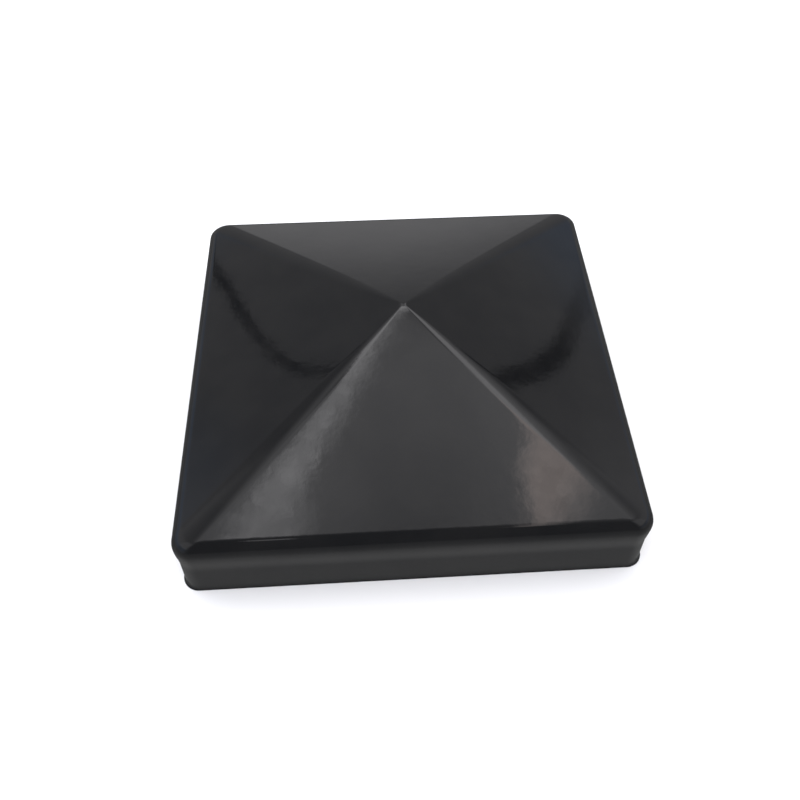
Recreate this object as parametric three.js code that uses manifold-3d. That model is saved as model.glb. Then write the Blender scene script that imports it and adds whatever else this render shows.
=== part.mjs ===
// Pyramid cap for a square fence post: a pressed and powder-coated steel shell that slides over the
// post's end, and the two self-drilling screws, each on its sealing washer, that hold it there.
// Millimetres, +Z up. The origin is the centre of the rim's plane, on which the cap stands.
import * as THREE from "three";
import { mergeVertices } from "three/addons/utils/BufferGeometryUtils.js";
import Module from "manifold-3d";

// The post and the sheet drive the cap's widths.
const POST_WIDTH = 100;
const POST_CLEARANCE = 0.5; // on each side of the post
const SHEET = 1.2; // steel and its coating
const SKIRT = POST_WIDTH / 2 + POST_CLEARANCE + SHEET; // half-width over the skirt's outside

// The eave is the widest level, where the skirt turns into the four roof faces.
const EAVE_OVERHANG = 0.5;
const EAVE = SKIRT + EAVE_OVERHANG; // half-width
const EAVE_HEIGHT = 14.4;
const EAVE_RADIUS = 3.7;
const BULGE_START = 8.4; // the skirt stands upright up to here, then leans out to the eave
const CORNER_RADIUS = 4.6; // in plan, at the eave
const ROOF_PEAK = 35.5; // where the four roof planes would meet in a point
const TIP_ROUNDING = 0.5;

// The hips are tight at the tip and open out down the roof, towards the first radius; at a
// half-width equal to the second one they have half of it.
const HIP_RADIUS = 6;
const HIP_OPENING = 23;

// The trimmed bottom edge flares out into a low lip, a little further at the corners.
const LIP_HEIGHT = 1.4;
const LIP_FLARE = 0.25;
const LIP_CORNER_FLARE = 0.5; // taken off the corner's radius

// How finely the shell is divided.
const LIP_STEPS = 3;
const BULGE_STEPS = 4;
const EAVE_STEPS = 8;
const ROOF_SHARES = [0.8, 0.62, 0.45, 0.3, 0.18, 0.1, 0.05, 0.025, 0.01, 0]; // of the eave's half-width
const CORNER_STEPS = 8;
const SLOPE_PASSES = 20;
const MERGE_DISTANCE = 1e-4;

// Fixings: one low-headed screw through the skirt on each side.
const SCREW_HEIGHT = 5; // above the rim
const SCREW_LENGTH = 9.5; // under the head
const THREAD_RADIUS = 1.95;
const CORE_RADIUS = 1.5;
const THREAD_PITCH = 1.3;
const DRILL_POINT = 3;
const HEAD_RADIUS = 3.3;
const HEAD_HEIGHT = 1.5;
const HEAD_RIM = 0.35; // thickness of the head at its edge
const DOME_STEPS = 5;
const RECESS_SPAN = 3.6; // tip to tip of the cross recess
const RECESS_WIDTH = 0.9;
const RECESS_DEPTH = 1;
const HOLE_RADIUS = 2.2;
const DRILL_REACH = 4 * SHEET; // length of the hole's cutter
const WASHER_RADIUS = 3.6;
const WASHER_THICKNESS = 0.5;
const SEAT_GAP = 0.05; // between faces that bear on each other
const ROUND_SIDES = 20;

const COATING_BLACK = { color: 0x141416, roughness: 0.2, metalness: 0 };
const SCREW_BLACK = { color: 0x17171a, roughness: 0.4, metalness: 0.6 };
const RUBBER_BLACK = { color: 0x101010, roughness: 0.85, metalness: 0 };

const wasm = await Module();
wasm.setup();

/** A closed three.js geometry as a manifold-3d solid. */
function toSolid(geometry) {
  const bare = new THREE.BufferGeometry();
  bare.setAttribute("position", geometry.getAttribute("position"));
  bare.setIndex(geometry.index);
  const merged = mergeVertices(bare, MERGE_DISTANCE);
  return new wasm.Manifold(
    new wasm.Mesh({
      numProp: 3,
      vertProperties: merged.attributes.position.array,
      triVerts: new Uint32Array(merged.index.array),
    }),
  );
}

/** A manifold-3d solid as a three.js geometry. */
function toGeometry(solid) {
  const { vertProperties, triVerts } = solid.getMesh();
  const geometry = new THREE.BufferGeometry();
  geometry.setAttribute("position", new THREE.BufferAttribute(vertProperties, 3));
  geometry.setIndex(new THREE.BufferAttribute(triVerts, 1));
  geometry.computeVertexNormals();
  return geometry;
}

function namedMesh(name, geometry, finish) {
  const mesh = new THREE.Mesh(geometry, new THREE.MeshStandardMaterial(finish));
  mesh.name = name;
  return mesh;
}

/** Radius of the roof's hips in plan, at the level of that half-width. */
function hipRadius(halfWidth) {
  return (HIP_RADIUS * halfWidth) / (halfWidth + HIP_OPENING);
}

/** A level's contour, a square with round corners, as points in plan, corner after corner. */
function contour({ halfWidth, radius }) {
  const axis = new THREE.Vector2();
  const points = [];
  for (let quarter = 0; quarter < 4; quarter++) {
    for (let i = 0; i <= CORNER_STEPS; i++) {
      const turned = ((i / CORNER_STEPS) * Math.PI) / 2;
      const point = new THREE.Vector2(Math.cos(turned), Math.sin(turned));
      point.multiplyScalar(radius).addScalar(halfWidth - radius);
      points.push(point.rotateAround(axis, (quarter * Math.PI) / 2));
    }
  }
  return points;
}

/** Slope of the roof planes, which leave the eave's arc at a tangent and pass through the peak. */
function roofSlope() {
  let slope = 0;
  for (let pass = 0; pass < SLOPE_PASSES; pass++) {
    const halfWidth = EAVE - EAVE_RADIUS * (1 - Math.sin(slope));
    const height = EAVE_HEIGHT + EAVE_RADIUS * Math.cos(slope);
    slope = Math.atan2(ROOF_PEAK - height, halfWidth);
  }
  return slope;
}

/** The levels of one face of the sheet, from the rim to the tip; depth is 0 on the outside. */
function sheetFace(depth) {
  const levels = [];
  const add = (halfWidth, height, radius) => levels.push({ halfWidth, height, radius });
  const cornerRadius = (halfWidth) => CORNER_RADIUS - (EAVE - halfWidth);
  for (let i = 0; i <= LIP_STEPS; i++) {
    const t = i / LIP_STEPS;
    const flare = (1 - t) ** 2;
    const halfWidth = SKIRT - depth + LIP_FLARE * flare;
    add(halfWidth, LIP_HEIGHT * t, cornerRadius(halfWidth) - LIP_CORNER_FLARE * flare);
  }
  for (let i = 0; i < BULGE_STEPS; i++) {
    const t = i / BULGE_STEPS;
    const halfWidth = SKIRT - depth + EAVE_OVERHANG * THREE.MathUtils.smoothstep(t, 0, 1);
    add(halfWidth, THREE.MathUtils.lerp(BULGE_START, EAVE_HEIGHT, t), cornerRadius(halfWidth));
  }
  const slope = roofSlope();
  const arcRadius = EAVE_RADIUS - depth;
  for (let i = 0; i <= EAVE_STEPS; i++) {
    const t = i / EAVE_STEPS;
    const turned = (Math.PI / 2 - slope) * t;
    const halfWidth = EAVE - EAVE_RADIUS + arcRadius * Math.cos(turned);
    const height = EAVE_HEIGHT + arcRadius * Math.sin(turned);
    const intoHip = THREE.MathUtils.smoothstep(t, 0, 1);
    const radius = THREE.MathUtils.lerp(CORNER_RADIUS - depth, hipRadius(halfWidth), intoHip);
    add(halfWidth, height, radius);
  }
  const peak = ROOF_PEAK - depth / Math.cos(slope);
  for (const share of ROOF_SHARES) {
    const halfWidth = share * EAVE;
    const height = peak - Math.tan(slope) * Math.hypot(halfWidth, TIP_ROUNDING);
    add(halfWidth, height, hipRadius(halfWidth));
  }
  return levels;
}

/** The pressed shell before drilling: a turned shell with its rings drawn out to the contours. */
function shellBlank() {
  const levels = [...sheetFace(SHEET).reverse(), ...sheetFace(0)];
  const contours = levels.map(contour);
  const sides = contours[0].length;
  const profile = levels.map((level) => new THREE.Vector2(level.halfWidth, level.height));
  const geometry = new THREE.LatheGeometry(profile, sides);
  const position = geometry.getAttribute("position");
  for (let i = 0; i <= sides; i++) {
    levels.forEach((level, j) => {
      const { x, y } = contours[j][i % sides];
      position.setXYZ(i * levels.length + j, x, y, level.height);
    });
  }
  return toSolid(geometry);
}

/** What the drill takes out of the skirt on side +1 or -1. */
function screwHole(side) {
  const cutter = new THREE.CylinderGeometry(HOLE_RADIUS, HOLE_RADIUS, DRILL_REACH, ROUND_SIDES);
  cutter.rotateZ(Math.PI / 2);
  cutter.translate(side * (SKIRT - SHEET / 2), 0, SCREW_HEIGHT);
  return toSolid(cutter);
}

function capShell() {
  let solid = shellBlank();
  for (const side of [1, -1]) solid = solid.subtract(screwHole(side));
  return namedMesh("cap_shell", toGeometry(solid), COATING_BLACK);
}

/** Turns a profile of [radius, distance along +X] pairs about the X axis. */
function turnedAboutX(profile) {
  const points = profile.map(([radius, along]) => new THREE.Vector2(radius, along));
  return new THREE.LatheGeometry(points, ROUND_SIDES).rotateZ(-Math.PI / 2);
}

/** A self-drilling screw, its head's underside at the origin and its head towards +X. */
function screwGeometry() {
  const profile = [[0, -SCREW_LENGTH]];
  const turns = Math.floor((SCREW_LENGTH - DRILL_POINT) / THREAD_PITCH);
  for (let turn = turns; turn > 0; turn--) {
    const crest = -turn * THREAD_PITCH;
    profile.push([CORE_RADIUS, crest - THREAD_PITCH / 3]);
    profile.push([THREAD_RADIUS, crest]);
    profile.push([CORE_RADIUS, crest + THREAD_PITCH / 3]);
  }
  profile.push([CORE_RADIUS, 0]);
  profile.push([HEAD_RADIUS, 0]);
  for (let i = 0; i <= DOME_STEPS; i++) {
    const turned = (i / DOME_STEPS) * (Math.PI / 2);
    const height = HEAD_RIM + (HEAD_HEIGHT - HEAD_RIM) * Math.sin(turned);
    profile.push([i < DOME_STEPS ? HEAD_RADIUS * Math.cos(turned) : 0, height]);
  }
  let solid = toSolid(turnedAboutX(profile));
  for (const [width, height] of [[RECESS_WIDTH, RECESS_SPAN], [RECESS_SPAN, RECESS_WIDTH]]) {
    const slot = new THREE.BoxGeometry(2 * RECESS_DEPTH, width, height);
    slot.translate(HEAD_HEIGHT, 0, 0);
    solid = solid.subtract(toSolid(slot));
  }
  return toGeometry(solid);
}

/** A flat ring lying against the skirt, from the origin towards +X. */
function washerGeometry() {
  return turnedAboutX([
    [HOLE_RADIUS, 0],
    [WASHER_RADIUS, 0],
    [WASHER_RADIUS, WASHER_THICKNESS],
    [HOLE_RADIUS, WASHER_THICKNESS],
    [HOLE_RADIUS, 0],
  ]);
}

/** One side's screw and washer, in a group turned so that its +X points out of that side. */
function fixing(side, heading) {
  const group = new THREE.Group();
  group.rotation.z = heading;
  const washer = namedMesh(`sealing_washer_${side}`, washerGeometry(), RUBBER_BLACK);
  washer.position.set(SKIRT + SEAT_GAP, 0, SCREW_HEIGHT);
  const screw = namedMesh(`fixing_screw_${side}`, screwGeometry(), SCREW_BLACK);
  screw.position.set(SKIRT + WASHER_THICKNESS + 2 * SEAT_GAP, 0, SCREW_HEIGHT);
  group.add(washer, screw);
  return group;
}

const postCap = new THREE.Group();
postCap.add(capShell(), fixing("right", 0), fixing("left", Math.PI));

export default postCap;
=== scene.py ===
"""Looks of a gloss black pyramid cap for a square fence post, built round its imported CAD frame.

Metres, +Z up. The shell, screws and washers are fine meshes that stand for the CAD solids. Their
places and overall sizes come from the frame's boxes, and the smaller sizes repeat the part's own.
Two differ: the screw heads' radius is 0.05 mm less, and the holes' is up to 0.22 mm less, for the
coating inside them.
"""
import math

import bmesh
import bpy
from mathutils import Matrix, Vector


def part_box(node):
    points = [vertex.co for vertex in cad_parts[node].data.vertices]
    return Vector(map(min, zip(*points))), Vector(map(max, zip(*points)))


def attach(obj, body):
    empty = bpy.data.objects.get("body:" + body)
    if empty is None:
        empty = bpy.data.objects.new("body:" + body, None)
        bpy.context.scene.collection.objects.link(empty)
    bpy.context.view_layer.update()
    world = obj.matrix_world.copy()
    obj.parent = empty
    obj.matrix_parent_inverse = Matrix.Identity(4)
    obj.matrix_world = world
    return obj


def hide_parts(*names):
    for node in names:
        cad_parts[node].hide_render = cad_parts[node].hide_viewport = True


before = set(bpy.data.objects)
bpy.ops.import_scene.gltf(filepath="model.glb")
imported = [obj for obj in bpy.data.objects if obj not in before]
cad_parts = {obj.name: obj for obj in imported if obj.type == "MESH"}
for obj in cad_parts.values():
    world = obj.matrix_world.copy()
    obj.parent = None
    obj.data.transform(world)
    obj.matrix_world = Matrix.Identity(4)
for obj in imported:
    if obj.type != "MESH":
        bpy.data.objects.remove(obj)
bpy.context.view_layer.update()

MM = 0.001
SAME_PLACE = 1e-7  # metres; points closer than this are one

# The camera. Its azimuth is the turn of its look direction from +Y towards +X, in degrees.
CAMERA_PLACE = (-8.1 * MM, -148.4 * MM, 191.2 * MM)
CAMERA_AZIMUTH = 4.47
CAMERA_DOWN = 47.36
CAMERA_ROLL = 0.995
CAMERA_SENSOR = 36  # millimetres, as Blender takes it, and so is the lens
CAMERA_LENS = 41.25
CAMERA_SHIFT = (-0.0225, -0.1)

# The shell.
SHELL_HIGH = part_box("cap_shell")[1]
SHEET = 1.2 * MM
EAVE = SHELL_HIGH.x
EAVE_OVERHANG = 0.5 * MM
SKIRT = EAVE - EAVE_OVERHANG
EAVE_HEIGHT = 14.4 * MM
EAVE_RADIUS = 3.7 * MM
BULGE_START = 8.4 * MM
CORNER_RADIUS = 4.6 * MM
INNER_CORNER_LEAST = 0.4 * MM
HIP_RADIUS = 6 * MM
HIP_OPENING = 23 * MM
TIP_ROUNDING = 0.5 * MM
LIP_HEIGHT = 1.4 * MM
LIP_FLARE = 0.25 * MM
LIP_CORNER_FLARE = 0.5 * MM
CUT_EDGE_RADIUS = 0.28 * MM
CUT_EDGE_HEIGHT = 1.2 * CUT_EDGE_RADIUS  # the skins' own levels start above this

# How finely the shell is divided.
SIDE_STEPS = 8
SIDE_HOLD = 0.01  # share of a side that its first and last steps take, to keep it flat between
CORNER_STEPS = 24
CUT_EDGE_STEPS = 6
LIP_STEPS = 8
UPRIGHT_STEPS = 4
UPRIGHT_HOLD = 0.05
BULGE_STEPS = 16
EAVE_STEPS = 28
ROOF_STEPS = 48
ROOF_CROWDING = 1.7  # above 1, the roof's levels crowd towards the tip
ROOF_START = 0.996  # the roof's first level, close to the eave's arc to keep the planes flat
SLOPE_PASSES = 30

# The screws and washers, along an axis that points out of the skirt.
HOLE_RADIUS = 2.2 * MM
HOLE_ROUNDING = 0.22 * MM
HOLE_STEPS = 8
HEAD_RADIUS = 3.25 * MM
HEAD_HEIGHT = 1.5 * MM
HEAD_RIM = 0.35 * MM
HEAD_STEPS = 12
HEAD_BEVEL = ((0.12 * MM, 0.0), (0.03 * MM, 0.04 * MM))  # (off the radius, height) of its two edges
RECESS_SPAN = 3.6 * MM
RECESS_WIDTH = 0.9 * MM
RECESS_DEPTH = 1 * MM
RECESS_TAPER = 0.55
CORE_RADIUS = 1.5 * MM
THREAD_RADIUS = 1.95 * MM
THREAD_PITCH = 1.3 * MM
THREAD_CREST = 1.15  # where the flanks would meet; above 1, so that the crest is flat
THREAD_RUN_OUT = (0.15 * THREAD_PITCH, 0.9 * THREAD_PITCH)  # gone and full, this far below the head
THREAD_FLANK = 0.3  # run of a flank from the core to the crest, in pitches
DRILL_POINT = 3 * MM
DRILL_TIP = 0.9 * MM
DRILL_TIP_SHARE = 0.08  # radius at the very end, as a share of the core's
FLUTE_DEPTH = 0.3
FLUTE_TWIST = 1.2  # radians along the drill point
FLUTE_SHARPNESS = 4
FLUTE_FULL = 0.8  # share of the drill point along which the flutes are at their deepest
SHANK_STEPS = 160
WASHER_RADIUS = 3.6 * MM
WASHER_STEPS = 32
WASHER_SIDE_POWER = 0.35  # how round its section is: 1 for a circle, near 0 for a rectangle
WASHER_FACE_POWER = 0.6
ROUND_SIDES = 64


def smoothstep(start, end, value):
    t = min(max((value - start) / (end - start), 0.0), 1.0)
    return t * t * (3 - 2 * t)


def toward(side):
    """The word that the frame's nodes and the pieces use for side +1 or -1."""
    return "right" if side > 0 else "left"


# ---------------------------------------------------------------- mesh helpers


def new_object(name, data):
    piece = bpy.data.objects.new(name, data)
    bpy.context.scene.collection.objects.link(piece)
    return piece


def clean(mesh):
    """Joins points that coincide, takes out faces with no area, and turns the others outwards."""
    shape = bmesh.new()
    shape.from_mesh(mesh)
    bmesh.ops.remove_doubles(shape, verts=shape.verts, dist=SAME_PLACE)
    bmesh.ops.dissolve_degenerate(shape, edges=shape.edges, dist=SAME_PLACE)
    bmesh.ops.recalc_face_normals(shape, faces=shape.faces)
    shape.to_mesh(mesh)
    shape.free()


def loft(name, rings, closed=False):
    """A solid's skin over rings of equal length. Its ends are capped unless it closes on itself."""
    count = len(rings[0])
    faces = []
    for i in range(len(rings) if closed else len(rings) - 1):
        here, there = i * count, (i + 1) % len(rings) * count
        for j in range(count):
            k = (j + 1) % count
            faces.append((here + j, here + k, there + k, there + j))
    if not closed:
        last = (len(rings) - 1) * count
        faces.append(tuple(range(count)))
        faces.append(tuple(range(last, last + count)))
    mesh = bpy.data.meshes.new(name)
    mesh.from_pydata([point for ring in rings for point in ring], [], faces)
    clean(mesh)
    return new_object(name, mesh)


def circle(radii, along):
    """A ring about the X axis, with a radius for each of its points."""
    turns = [2 * math.pi * j / ROUND_SIDES for j in range(ROUND_SIDES)]
    return [(along, r * math.cos(a), r * math.sin(a)) for r, a in zip(radii, turns)]


def turned(name, profile, closed=False):
    """A profile of (radius, distance along +X) pairs turned about the X axis."""
    return loft(name, [circle([r] * ROUND_SIDES, along) for r, along in profile], closed)


def cut(piece, cutter):
    """Takes cutter out of piece, and removes cutter."""
    modifier = piece.modifiers.new("cut", "BOOLEAN")
    modifier.object = cutter
    modifier.solver = "EXACT"
    graph = bpy.context.evaluated_depsgraph_get()
    mesh = bpy.data.meshes.new_from_object(piece.evaluated_get(graph))
    piece.modifiers.clear()
    clean(mesh)
    piece.data = mesh
    bpy.data.objects.remove(cutter)


def smooth(piece, edge_angle):
    """Shades a piece smooth, apart from edges sharper than edge_angle degrees."""
    for polygon in piece.data.polygons:
        polygon.use_smooth = True
    piece.data.set_sharp_from_angle(angle=math.radians(edge_angle))


def held_steps(count, hold):
    """0 to 1 in count steps, with a short step of length hold at each end."""
    return [0.0, hold] + [i / count for i in range(1, count)] + [1 - hold, 1.0]


# ---------------------------------------------------------------- the shell


def contour(half_width, height, radius):
    """A square with round corners: each side's straight points, then its corner's arc."""
    points = []
    straight = half_width - radius
    for quarter in range(4):
        turn = Matrix.Rotation(quarter * math.pi / 2, 3, "Z")
        for share in held_steps(SIDE_STEPS, SIDE_HOLD)[:-1]:
            points.append(turn @ Vector((half_width, straight * (2 * share - 1), height)))
        for i in range(CORNER_STEPS):
            angle = math.pi / 2 * i / CORNER_STEPS
            x = straight + radius * math.cos(angle)
            y = straight + radius * math.sin(angle)
            points.append(turn @ Vector((x, y, height)))
    return points


def hip_radius(half_width):
    """The hips are tight at the tip and open out down the roof."""
    return HIP_RADIUS * half_width / (half_width + HIP_OPENING)


def roof_plane():
    """Peak and slope of the roof planes, which leave the eave's arc at a tangent."""
    slope = 0.0
    for _ in range(SLOPE_PASSES):
        peak = SHELL_HIGH.z + math.tan(slope) * TIP_ROUNDING
        half_width = EAVE - EAVE_RADIUS * (1 - math.sin(slope))
        height = EAVE_HEIGHT + EAVE_RADIUS * math.cos(slope)
        slope = math.atan2(peak - height, half_width)
    return peak, slope


def skirt_levels():
    """(half-width, height, corner radius) from the flared lip to just below the eave."""
    levels = []
    for i in range(LIP_STEPS + 1):
        flare = (1 - i / LIP_STEPS) ** 2
        half_width = SKIRT + LIP_FLARE * flare
        radius = CORNER_RADIUS - (EAVE - half_width) - LIP_CORNER_FLARE * flare
        levels.append((half_width, LIP_HEIGHT * i / LIP_STEPS, radius))
    for share in held_steps(UPRIGHT_STEPS, UPRIGHT_HOLD)[1:-1]:
        height = LIP_HEIGHT + (BULGE_START - LIP_HEIGHT) * share
        levels.append((SKIRT, height, CORNER_RADIUS - EAVE_OVERHANG))
    for i in range(BULGE_STEPS):
        half_width = SKIRT + EAVE_OVERHANG * smoothstep(0, BULGE_STEPS, i)
        height = BULGE_START + (EAVE_HEIGHT - BULGE_START) * i / BULGE_STEPS
        levels.append((half_width, height, CORNER_RADIUS - (EAVE - half_width)))
    return levels


def roof_levels():
    """(half-width, height, corner radius) of the eave's arc and the roof planes, up to the tip."""
    levels = []
    peak, slope = roof_plane()
    for i in range(EAVE_STEPS + 1):
        turn = (math.pi / 2 - slope) * i / EAVE_STEPS
        half_width = EAVE - EAVE_RADIUS * (1 - math.cos(turn))
        into_hip = smoothstep(0, EAVE_STEPS, i)
        radius = CORNER_RADIUS + (hip_radius(half_width) - CORNER_RADIUS) * into_hip
        levels.append((half_width, EAVE_HEIGHT + EAVE_RADIUS * math.sin(turn), radius))
    edge = EAVE - EAVE_RADIUS * (1 - math.sin(slope))
    for i in range(1, ROOF_STEPS + 1):
        share = 1 - i / ROOF_STEPS if i > 1 else ROOF_START
        half_width = edge * share ** ROOF_CROWDING
        height = peak - math.tan(slope) * math.hypot(half_width, TIP_ROUNDING)
        levels.append((half_width, height, hip_radius(half_width)))
    return levels


def inward(levels, depth):
    """The inner skin: each level moved depth along its own normal."""
    inner = []
    for i, (half_width, height, radius) in enumerate(levels):
        below, above = levels[max(i - 1, 0)], levels[min(i + 1, len(levels) - 1)]
        run = Vector((above[0] - below[0], above[1] - below[1])).normalized()
        inner_width = max(half_width - depth * run.y, 0.0)
        inner_radius = min(max(radius - depth, INNER_CORNER_LEAST), inner_width)
        inner.append((inner_width, height + depth * run.x, inner_radius))
    return inner


def cut_edge():
    """The sheared rim: flat on the ground, its two edges rounded over by the coating."""
    outer = SKIRT + LIP_FLARE
    inner = outer - SHEET
    corner = CORNER_RADIUS - LIP_CORNER_FLARE - EAVE
    turns = [math.pi / 2 * i / CUT_EDGE_STEPS for i in range(CUT_EDGE_STEPS)]
    levels = []
    for turn in turns:
        levels.append((inner + CUT_EDGE_RADIUS * (1 - math.cos(turn)), 1 - math.sin(turn)))
    levels.append((inner + CUT_EDGE_RADIUS, 0.0))
    levels.append((outer - CUT_EDGE_RADIUS, 0.0))
    for turn in turns[1:]:
        levels.append((outer - CUT_EDGE_RADIUS * (1 - math.sin(turn)), 1 - math.cos(turn)))
    return [(width, CUT_EDGE_RADIUS * up, width + corner) for width, up in levels]


def hole_cutter(side):
    """A drill through the skirt, widened where the coating rounds the hole's edges."""
    end = SHEET / 2 + 2 * HOLE_ROUNDING
    profile = [(0.0, -end)]
    for i in range(-HOLE_STEPS, HOLE_STEPS + 1):
        along = i / HOLE_STEPS * (SHEET / 2 + HOLE_ROUNDING)
        past = max(abs(along) - SHEET / 2 + HOLE_ROUNDING, 0.0) / HOLE_ROUNDING
        profile.append((HOLE_RADIUS - HOLE_ROUNDING + HOLE_ROUNDING * past ** 2 / 2, along))
    profile.append((0.0, end))
    cutter = turned("drill", profile)
    cutter.data.transform(outward(side, SKIRT - SHEET / 2))
    return cutter


def shell_piece():
    outer = skirt_levels() + roof_levels()
    above_edge = [level for level in outer if level[1] > CUT_EDGE_HEIGHT]
    inner = [level for level in inward(outer, SHEET) if level[1] > CUT_EDGE_HEIGHT]
    levels = inner[::-1] + cut_edge() + above_edge
    piece = loft("shell", [contour(*level) for level in levels])
    for side in (1, -1):
        cut(piece, hole_cutter(side))
    smooth(piece, edge_angle=50)
    return piece


# ---------------------------------------------------------------- screws and washers


def outward(side, distance):
    """Moves a piece to side +1 or -1: +X outwards, distance from the centre, at the screw's height."""
    low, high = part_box(f"fixing_screw_{toward(side)}")
    turn = Matrix.Rotation(0 if side > 0 else math.pi, 4, "Z")
    return turn @ Matrix.Translation((distance, 0, (low.z + high.z) / 2))


def shank_radius(along, angle, length):
    """The self-drilling screw's radius: a fluted drill point, then a helical thread."""
    from_end = along + length
    pointed = min(from_end / DRILL_TIP, 1.0)
    core = CORE_RADIUS * (DRILL_TIP_SHARE + (1 - DRILL_TIP_SHARE) * pointed)
    fluted = 1 - smoothstep(DRILL_POINT * FLUTE_FULL, DRILL_POINT, from_end)
    flute = math.cos(angle - from_end / DRILL_POINT * FLUTE_TWIST) ** FLUTE_SHARPNESS
    radius = core * (1 - FLUTE_DEPTH * fluted * flute)
    phase = (along / THREAD_PITCH + angle / (2 * math.pi)) % 1
    crest = min(max(THREAD_CREST - abs(phase - 0.5) / THREAD_FLANK, 0.0), 1.0)
    started = smoothstep(DRILL_POINT, DRILL_POINT + THREAD_PITCH, from_end)
    run_out = smoothstep(*THREAD_RUN_OUT, -along)
    return radius + (THREAD_RADIUS - CORE_RADIUS) * crest * started * run_out


def shank_rings(length):
    rings = []
    for i in range(SHANK_STEPS + 1):
        along = -length * (1 - i / SHANK_STEPS)
        turns = [2 * math.pi * j / ROUND_SIDES for j in range(ROUND_SIDES)]
        rings.append(circle([shank_radius(along, turn, length) for turn in turns], along))
    return rings


def head_rings():
    profile = [(HEAD_RADIUS - off, height) for off, height in HEAD_BEVEL]
    for i in range(HEAD_STEPS + 1):
        turn = math.pi / 2 * i / HEAD_STEPS
        height = HEAD_RIM + (HEAD_HEIGHT - HEAD_RIM) * math.sin(turn)
        profile.append((HEAD_RADIUS * math.cos(turn), height))
    return [circle([radius] * ROUND_SIDES, along) for radius, along in profile]


def recess_cutter():
    """A cross that narrows as it goes down into the head."""
    rings = []
    for depth, scale in ((-HEAD_HEIGHT, 1.0), (0.0, 1.0), (RECESS_DEPTH, RECESS_TAPER)):
        span, width = RECESS_SPAN / 2 * scale, RECESS_WIDTH / 2 * (0.5 + scale / 2)
        arm = [(span, -width), (span, width), (width, width)]
        ring = []
        for quarter in range(4):
            turn = Matrix.Rotation(quarter * math.pi / 2, 2)
            ring += [(HEAD_HEIGHT - depth, *(turn @ Vector(point))) for point in arm]
        rings.append(ring)
    return loft("recess", rings)


def screw_piece(side):
    """The head's underside is where the frame's screw has it."""
    low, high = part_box(f"fixing_screw_{toward(side)}")
    length = high.x - low.x - HEAD_HEIGHT
    piece = loft(f"screw_{toward(side)}", shank_rings(length) + head_rings())
    cut(piece, recess_cutter())
    smooth(piece, edge_angle=32)
    underside = max(abs(low.x), abs(high.x)) - HEAD_HEIGHT
    piece.data.transform(outward(side, underside))
    return piece


def flattened(part, power):
    """A circle's sine or cosine, drawn towards the sides of a square."""
    return math.copysign(abs(part) ** power, part)


def washer_piece(side):
    """A rubber ring, squeezed so that its outer edge bulges."""
    low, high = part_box(f"sealing_washer_{toward(side)}")
    half_thickness = (high.x - low.x) / 2
    middle_radius = (WASHER_RADIUS + HOLE_RADIUS) / 2
    half_band = (WASHER_RADIUS - HOLE_RADIUS) / 2
    profile = []
    for i in range(WASHER_STEPS):
        turn = 2 * math.pi * i / WASHER_STEPS
        over = flattened(math.cos(turn), WASHER_SIDE_POWER)
        up = flattened(math.sin(turn), WASHER_FACE_POWER)
        profile.append((middle_radius + half_band * over, half_thickness * (1 + up)))
    piece = turned(f"washer_{toward(side)}", profile, closed=True)
    smooth(piece, edge_angle=60)
    piece.data.transform(outward(side, min(abs(low.x), abs(high.x))))
    return piece


# ---------------------------------------------------------------- shader arithmetic


class Field:
    """A number worked out by shader nodes, so that formulas read as arithmetic."""

    def __init__(self, tree, socket):
        self.tree = tree
        self.socket = socket

    def joined(self, operation, other=0.0, swap=False):
        node = self.tree.nodes.new("ShaderNodeMath")
        node.operation = operation
        mine, theirs = (1, 0) if swap else (0, 1)
        self.tree.links.new(self.socket, node.inputs[mine])
        if isinstance(other, Field):
            self.tree.links.new(other.socket, node.inputs[theirs])
        else:
            node.inputs[theirs].default_value = other
        return Field(self.tree, node.outputs[0])

    def __add__(self, other):
        return self.joined("ADD", other)

    def __sub__(self, other):
        return self.joined("SUBTRACT", other)

    def __rsub__(self, other):
        return self.joined("SUBTRACT", other, swap=True)

    def __mul__(self, other):
        return self.joined("MULTIPLY", other)

    def __truediv__(self, other):
        return self.joined("DIVIDE", other)

    __radd__ = __add__

    def size(self):
        return self.joined("ABSOLUTE")

    def at_least(self, other):
        return self.joined("MAXIMUM", other)

    def at_most(self, other):
        return self.joined("MINIMUM", other)

    def between(self, start, end, low=0.0, high=1.0):
        """low before start, high after end, and smooth in between. start may be above end."""
        node = self.tree.nodes.new("ShaderNodeMapRange")
        node.interpolation_type = "SMOOTHSTEP"
        for name, value in zip(("From Min", "From Max", "To Min", "To Max"), (start, end, low, high)):
            node.inputs[name].default_value = value
        self.tree.links.new(self.socket, node.inputs["Value"])
        return Field(self.tree, node.outputs["Result"])

    def inside(self, rise, fall):
        """1 in the band from rise to fall, which are its soft edges' (start, end), and 0 outside."""
        return self.between(*rise) * self.between(*reversed(fall))

    def tint(self, dark, light):
        """A colour socket that goes from dark, a colour or a socket, to light as this goes to 1."""
        node = self.tree.nodes.new("ShaderNodeMix")
        node.data_type = "RGBA"
        if isinstance(dark, tuple):
            node.inputs["A"].default_value = (*dark, 1)
        else:
            self.tree.links.new(dark, node.inputs["A"])
        node.inputs["B"].default_value = (*light, 1)
        self.tree.links.new(self.socket, node.inputs["Factor"])
        return node.outputs["Result"]

    def into(self, socket):
        self.tree.links.new(self.socket, socket)


def place_in(tree, output="Object"):
    node = tree.nodes.get(output) or tree.nodes.new("ShaderNodeTexCoord")
    node.name = output
    return node.outputs[output]


def axes_of(tree, output="Object"):
    axes = tree.nodes.new("ShaderNodeSeparateXYZ")
    tree.links.new(place_in(tree, output), axes.inputs[0])
    return [Field(tree, socket) for socket in axes.outputs]


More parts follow.
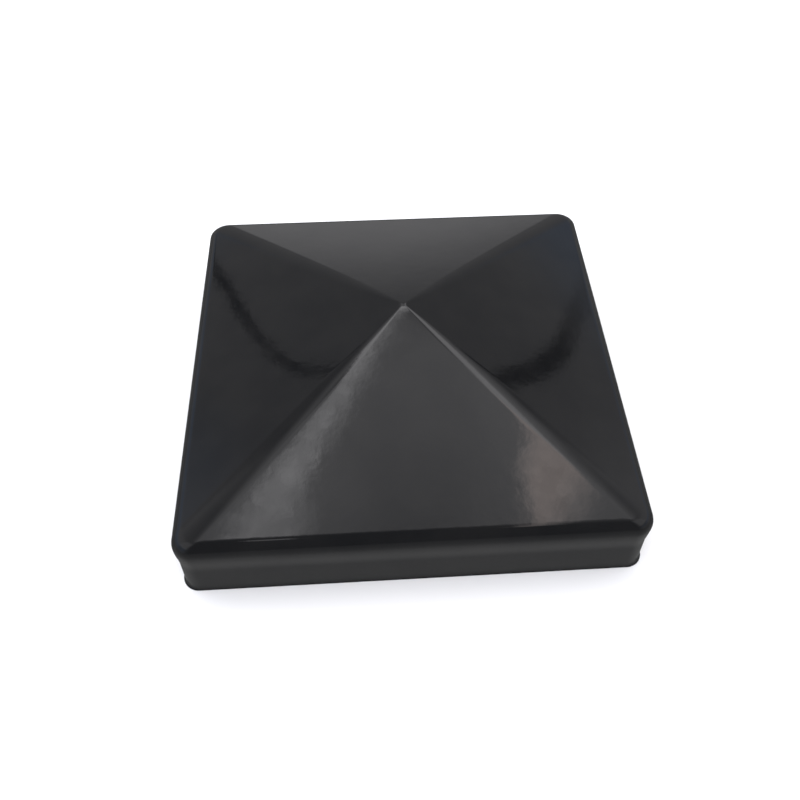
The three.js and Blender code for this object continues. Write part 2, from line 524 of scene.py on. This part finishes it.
def noise(tree, size, detail=2.0, output="Object"):
    """Noise whose blots are about size across."""
    texture = tree.nodes.new("ShaderNodeTexNoise")
    texture.inputs["Scale"].default_value = 1 / size
    texture.inputs["Detail"].default_value = detail
    tree.links.new(place_in(tree, output), texture.inputs["Vector"])
    return Field(tree, texture.outputs["Fac"])


def bump(height, depth, under=None):
    node = height.tree.nodes.new("ShaderNodeBump")
    node.inputs["Distance"].default_value = depth
    height.into(node.inputs["Height"])
    if under:
        height.tree.links.new(under, node.inputs["Normal"])
    return node.outputs["Normal"]


def new_material(name):
    material = bpy.data.materials.new(name)
    material.use_nodes = True
    return material, material.node_tree, material.node_tree.nodes["Principled BSDF"]


# ---------------------------------------------------------------- finishes


def finish(name, shades, cloud, roughness, haze, grains, metallic=0.0):
    """A material whose colour and roughness drift between two values, over layers of fine grain.

    cloud and haze are (size, detail, start, end) of the noises that move the colour and the
    roughness, and each grain is the (size, detail, depth) of a bump.
    """
    material, tree, shader = new_material(name)
    size, detail, start, end = cloud
    colour = noise(tree, size, detail).between(start, end).tint(*shades)
    tree.links.new(colour, shader.inputs["Base Color"])
    size, detail, start, end = haze
    noise(tree, size, detail).between(start, end, *roughness).into(shader.inputs["Roughness"])
    shader.inputs["Metallic"].default_value = metallic
    normal = None
    for size, detail, depth in grains:
        normal = bump(noise(tree, size, detail), depth, normal)
    tree.links.new(normal, shader.inputs["Normal"])
    return material


def gloss_coat():
    """Gloss black powder coat: faint orange peel, and a haze that changes the gloss slightly."""
    return finish(
        "gloss_coat",
        shades=((0.0052, 0.0054, 0.006), (0.007, 0.0071, 0.0075)),
        cloud=(9 * MM, 4, 0.3, 0.7),
        roughness=(0.045, 0.075),
        haze=(5 * MM, 5, 0.35, 0.75),
        grains=[(2.4 * MM, 1, 5.5e-6), (0.7 * MM, 2, 1.6e-6)],
    )


def thin_coat():
    """Inside, the coat is thin, rough and uneven, with a fine grain."""
    return finish(
        "thin_coat",
        shades=((0.012, 0.012, 0.013), (0.03, 0.03, 0.031)),
        cloud=(6 * MM, 5, 0.3, 0.7),
        roughness=(0.38, 0.6),
        haze=(3 * MM, 4, 0.3, 0.7),
        grains=[(0.9 * MM, 3, 14e-6)],
    )


def screw_finish():
    """Black-plated steel, with the plating rubbed thin in spots."""
    return finish(
        "screw_finish",
        shades=((0.03, 0.03, 0.033), (0.14, 0.137, 0.13)),
        cloud=(0.9 * MM, 5, 0.6, 0.75),
        roughness=(0.28, 0.42),
        haze=(0.5 * MM, 3, 0.3, 0.7),
        grains=[(0.3 * MM, 2, 4e-6)],
        metallic=0.5,
    )


def washer_rubber():
    """Matt black rubber with a fine moulded grain."""
    return finish(
        "washer_rubber",
        shades=((0.016, 0.016, 0.017), (0.03, 0.03, 0.03)),
        cloud=(1.5 * MM, 3, 0.3, 0.7),
        roughness=(0.65, 0.8),
        haze=(0.6 * MM, 2, 0.3, 0.7),
        grains=[(0.25 * MM, 3, 12e-6)],
    )


# ---------------------------------------------------------------- studio
#
# The coat is nearly a black mirror, so most of what shows on it is the studio. Only glossy rays see
# the studio's parts, which are soft-edged bands of direction. "Behind" is +Y, away from the camera.
# A direction is described by
#   azimuth         degrees from +Y towards +X
#   turn            the azimuth's size
#   z               height, from 0 at the horizon to 1 straight up
#   across, along   x and y where it meets a ceiling that is 1 above
#   back            along where it is positive, and 0 elsewhere
#   front           1 towards -Y, and 0 elsewhere

PLAIN, BLUE, WARM = (1.0, 0.99, 1.01), (0.76, 0.95, 1.3), (1.13, 0.98, 0.93)

# How bright the parts are.
WHITE = 1.6  # what the lens and matt surfaces see all round
WALL = 0.33
WALL_MIDDLE = 0.08
WALL_FOOT = 0.39
BOX_BEHIND = 0.5
BOX_BESIDE = 0.4
RIGHT_LAMP = 1.7
TUBE = 1.2

# Shares by which parts of the walls and of the ceiling are dimmer or brighter than the rest.
UPPER_DIMMER = 0.34
FRONT_DIMMER = 0.76
BACK_DIMMER = 0.7
FRONT_LEFT_BRIGHTER = 0.35
RIGHT_BRIGHTER = 0.25

DOME_SPREAD = 52.3  # turn, in degrees, that dims the glow behind as much as a z of 1 does
CEILING_FRONT = (-0.18, -0.168)  # along

FLOOR_SIZE = 12
# Painted light: how brightly the floor glows by itself for glossy rays, in its pool before the front
# skirt, in a ring round the cap, and far off.
PAINTED_POOL_LIGHT = 0.3
PAINTED_RING_LIGHT = 0.22
PAINTED_FAR_LIGHT = 0.15

KEY_PLACE = (-0.3, 0.35, 0.9)
KEY_SIZE = 0.7
KEY_ENERGY = 2


class Sky:
    """The direction in which a ray leaves the scene, in the numbers that the studio is laid out in."""

    def __init__(self, tree):
        x, y, z = axes_of(tree, "Generated")
        self.tree = tree
        self.azimuth = x.joined("ARCTAN2", y) * math.degrees(1)
        self.turn = self.azimuth.size()
        self.z = z
        up = z.at_least(0.001)
        self.across, self.along = x / up, y / up
        self.back = self.along.at_least(0.0)
        self.front = y.between(0.0, -0.3) * self.turn.between(125, 155)

    def noise(self, size, detail):
        return noise(self.tree, size, detail, "Generated")


def walls(sky):
    """Grey walls, lighter at the sides, with a glow at the foot of the one behind."""
    z, turn = sky.z, sky.turn
    side = turn.inside((46, 60), (96, 112)) * z.between(0.15, 0.5, 0.08, 0.3) * z.between(0.95, 0.7)
    middle = turn.inside((25, 38), (48, 55)) * z.between(0.5, 0.38) * WALL_MIDDLE
    spread = turn / DOME_SPREAD
    dome = z + spread * spread
    glow = dome.between(0.135, 0.035) * WALL_FOOT - dome.between(0.25, 0.13) * 0.04
    return WALL + side + middle + glow


def far_boxes(sky):
    """Soft boxes behind and beside the cap, which only its other sides reflect."""
    z, turn = sky.z, sky.turn
    behind = turn.between(34, 24) * z.inside((0.58, 0.68), (0.9, 0.97)) * BOX_BEHIND
    beside = turn.inside((96, 108), (134, 148)) * z.inside((0.4, 0.52), (0.82, 0.92))
    return behind + beside * BOX_BESIDE


def gap(sky, centre, half_width, darkness):
    """What is left of the walls' light at a dark gap between two panels, centred on an azimuth."""
    away = (sky.azimuth - centre).size()
    return 1 - away.between(half_width, half_width * 0.4) * sky.z.between(0.8, 0.74) * darkness


def wall_shades(sky):
    """What is left of the walls' light: two curved gaps, dim upper panels and a dim front."""
    z, turn = sky.z, sky.turn
    left_centre = z.between(0.4, 0.53, -37.6, -40.5) + z.between(0.54, 0.585, 0, 1.7)
    right_centre = z.between(0.38, 0.465, 42.3, 44.95) - z.between(0.475, 0.52, 0, 0.9)
    gaps = gap(sky, left_centre, 0.6, 0.9)
    gaps = gaps * gap(sky, right_centre, 1.15, z.between(0.4, 0.46, 0.3, 0.98))
    upper = 1 - turn.inside((38, 43), (54, 62)) * z.between(0.5, 0.72) * UPPER_DIMMER
    return gaps * upper * (1 - sky.front * FRONT_DIMMER)


def ceiling(sky, right_edge):
    """A pale ceiling, dimmer in the middle at the back, brighter on the right and at the front left."""
    across, along = sky.across, sky.along
    left_edge = across + sky.back * 0.15
    level = left_edge.between(-0.4, -0.14) * right_edge.between(0.6, 0.28)
    level = level * along.between(-0.17, 0.05, 0.57, 0.86) * along.between(1.2, 0.7)
    at_back = along.between(0.04, 0.1) * across.size().between(0.3, 0.15)
    level = level * (1 - at_back * BACK_DIMMER)
    front_left = across.between(0.02, -0.06) * along.between(-0.05, -0.12) * FRONT_LEFT_BRIGHTER
    on_right = across.between(0.08, 0.15) * RIGHT_BRIGHTER
    return level * (1 + front_left + on_right) * along.between(*CEILING_FRONT)


def left_lamp(sky):
    """A lamp with ragged edges, narrowest overhead and wider towards the front and the back."""
    across, along = sky.across, sky.along
    ragged = sky.noise(0.012, 4).between(0.35, 0.65, -0.012, 0.012)
    slant = across + along.size() * 0.8
    outer = slant.between(-0.06, -0.01) * 0.35 + (slant + ragged).between(-0.042, -0.028) * 0.65
    ahead = along.at_least(-0.11).at_most(0.0)
    inner = (across + ragged * 0.6 - ahead * 0.6 - sky.back * 0.54).between(0.0, -0.032)
    ends = along.inside(CEILING_FRONT, (0.18, 0.36))
    level = along.between(-0.15, -0.07, 1.3, 2.3) * along.between(0.03, 0.16, 1, 1.3)
    return outer * inner * ends * level


def right_lamp(sky, right_edge):
    """A longer lamp, dimmer towards the back."""
    along = sky.along
    ahead = along.at_least(-0.17).at_most(0.0)
    lamp = right_edge.between(0.152, 0.176) * (right_edge - ahead * 0.75).between(0.36, 0.29)
    return lamp * along.between(-0.5, -0.43) * along.between(0.1, -0.12, 0.74, 1)


def thin_tube(sky):
    """A thin tube in front of the left lamp."""
    tube = sky.along.inside((-0.54, -0.5), (-0.4, -0.36))
    return tube * sky.across.inside((-0.16, -0.14), (-0.11, -0.09))


def mottle(sky):
    """Coarse and fine blots in the lamps' light."""
    coarse = sky.noise(0.014, 5).between(0.4, 0.6, 0.74, 1.2)
    fine = sky.noise(0.0055, 4).between(0.4, 0.6, 0.82, 1.16)
    return coarse * fine


def light_colour(sky, right):
    """Bluish light low at the sides, and a warm lamp on the right."""
    low = sky.z.between(0.44, 0.37) * sky.z.between(0.14, 0.34) * 0.8
    left_wall = sky.azimuth.between(-44, -50) * sky.z.between(0.6, 0.5) * 0.4
    blue = sky.turn.between(20, 36) * (low + left_wall).at_most(1.0) * (1 - sky.front)
    warm = right * sky.along.between(0.1, -0.05)
    return warm.tint(blue.tint(PLAIN, BLUE), WARM)


def studio_reflections(tree):
    """How bright the studio is in each direction, and its colour, as the gloss coat reflects it."""
    sky = Sky(tree)
    wander = sky.noise(0.05, 2).between(0.3, 0.7, -0.006, 0.006)
    right_edge = sky.across - sky.back * 0.3 + wander
    right = right_lamp(sky, right_edge)
    lamps = (left_lamp(sky) + right * RIGHT_LAMP) * mottle(sky) + thin_tube(sky) * TUBE
    overhead = (ceiling(sky, right_edge) + lamps) * sky.z.between(0.45, 0.7)
    brightness = (walls(sky) + far_boxes(sky)) * wall_shades(sky) + overhead
    return brightness, light_colour(sky, right)


def studio_world():
    """Glossy rays see the studio. The lens sees white, and matt surfaces an even, faintly tinted light."""
    world = bpy.data.worlds.new("studio")
    bpy.context.scene.world = world
    world.use_nodes = True
    world.cycles.sampling_method = "NONE"
    tree = world.node_tree
    rays = tree.nodes.new("ShaderNodeLightPath")
    glossy = Field(tree, rays.outputs["Is Glossy Ray"])
    brightness, colour = studio_reflections(tree)
    (brightness * glossy + (1 - glossy) * WHITE).into(tree.nodes["Background"].inputs["Strength"])
    tree.links.new(colour, tree.nodes["Background"].inputs["Color"])


def painted_floor_glow(tree):
    """The painted light on the floor that the coat reflects: the floor glows by itself, not lit by a lamp,
    in a pool before the front skirt, and dimmer beyond.
    """
    x, y, _ = axes_of(tree)
    pool = y.inside((-0.12, -0.064), (-0.054, -0.046))
    ring = x.size().at_least(y.size()).inside((0.075, 0.1), (0.25, 0.4))
    level = PAINTED_FAR_LIGHT + ring * (PAINTED_RING_LIGHT - PAINTED_FAR_LIGHT)
    return level + pool * (PAINTED_POOL_LIGHT - level)


def floor():
    """White paper, which glossy rays see glowing by itself: a painted light, brightest in a pool before
    the front skirt.
    """
    bpy.ops.mesh.primitive_plane_add(size=FLOOR_SIZE)
    plane = bpy.context.object
    plane.name = "floor"
    material, tree, shader = new_material("white_paper_painted_glow")
    fibre = noise(tree, 0.3, 3).between(0.3, 0.7)
    tree.links.new(fibre.tint((0.87, 0.87, 0.87), (0.89, 0.89, 0.89)), shader.inputs["Base Color"])
    shader.inputs["Roughness"].default_value = 1.0
    shader.inputs["Specular IOR Level"].default_value = 0.0
    # Painted light: an emission that glossy rays see on the floor instead of the lit paper.
    glow = tree.nodes.new("ShaderNodeEmission")
    painted_floor_glow(tree).into(glow.inputs["Strength"])
    rays = tree.nodes.new("ShaderNodeLightPath")
    choose = tree.nodes.new("ShaderNodeMixShader")
    tree.links.new(rays.outputs["Is Glossy Ray"], choose.inputs["Fac"])
    tree.links.new(shader.outputs[0], choose.inputs[1])
    tree.links.new(glow.outputs[0], choose.inputs[2])
    tree.links.new(choose.outputs[0], tree.nodes["Material Output"].inputs["Surface"])
    plane.data.materials.append(material)


def key_light():
    """A large soft lamp high behind the cap on the left, for a faint shadow at its foot."""
    lamp = bpy.data.lights.new("key", "AREA")
    lamp.size = KEY_SIZE
    lamp.energy = KEY_ENERGY
    light = new_object("key", lamp)
    light.location = KEY_PLACE
    light.rotation_euler = (-light.location).to_track_quat("-Z", "Y").to_euler()
    light.visible_glossy = False
    light.visible_camera = False


def camera():
    data = bpy.data.cameras.new("camera")
    data.sensor_width = CAMERA_SENSOR
    data.lens = CAMERA_LENS
    data.shift_x, data.shift_y = CAMERA_SHIFT
    data.clip_start = 10 * MM
    view = new_object("camera", data)
    azimuth, down = math.radians(CAMERA_AZIMUTH), math.radians(CAMERA_DOWN)
    forward = math.cos(down)
    look = Vector((math.sin(azimuth) * forward, math.cos(azimuth) * forward, -math.sin(down)))
    upright = look.to_track_quat("-Z", "Y").to_matrix().to_4x4()
    roll = Matrix.Rotation(math.radians(CAMERA_ROLL), 4, "Z")
    view.matrix_world = Matrix.Translation(CAMERA_PLACE) @ upright @ roll
    bpy.context.scene.camera = view


# ---------------------------------------------------------------- assembly


LOOKS_UP, LOOKS_DOWN = 0.5, -0.2  # least lean of a face's normal
OUTER_SHEET = SKIRT - 0.6 * SHEET  # half-width beyond which the sheet is in its outer part


def faces_inside(polygon):
    """Whether a face of the shell looks into the cap. The rim and the lip look down, but do not."""
    centre, normal = polygon.center, polygon.normal
    is_inner_wall = centre.xy.dot(normal.xy) < 0 and normal.z < LOOKS_UP
    is_outermost = max(abs(centre.x), abs(centre.y)) > OUTER_SHEET
    return is_inner_wall or (normal.z <= LOOKS_DOWN and not is_outermost)


def coat_shell(piece):
    """The gloss coat outside, and the thin one on what faces into the cap."""
    piece.data.materials.clear()
    piece.data.materials.append(gloss_coat())
    piece.data.materials.append(thin_coat())
    for polygon in piece.data.polygons:
        polygon.material_index = 1 if faces_inside(polygon) else 0


def coat(piece, material):
    piece.data.materials.clear()
    piece.data.materials.append(material)


def place(piece, node):
    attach(piece, "root")
    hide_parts(node)


bpy.context.scene.view_settings.view_transform = "Standard"
camera()
floor()
studio_world()
key_light()

shell = shell_piece()
coat_shell(shell)
place(shell, "cap_shell")
plating, rubber = screw_finish(), washer_rubber()
for side in (1, -1):
    screw, washer = screw_piece(side), washer_piece(side)
    coat(screw, plating)
    place(screw, f"fixing_screw_{toward(side)}")
    coat(washer, rubber)
    place(washer, f"sealing_washer_{toward(side)}")
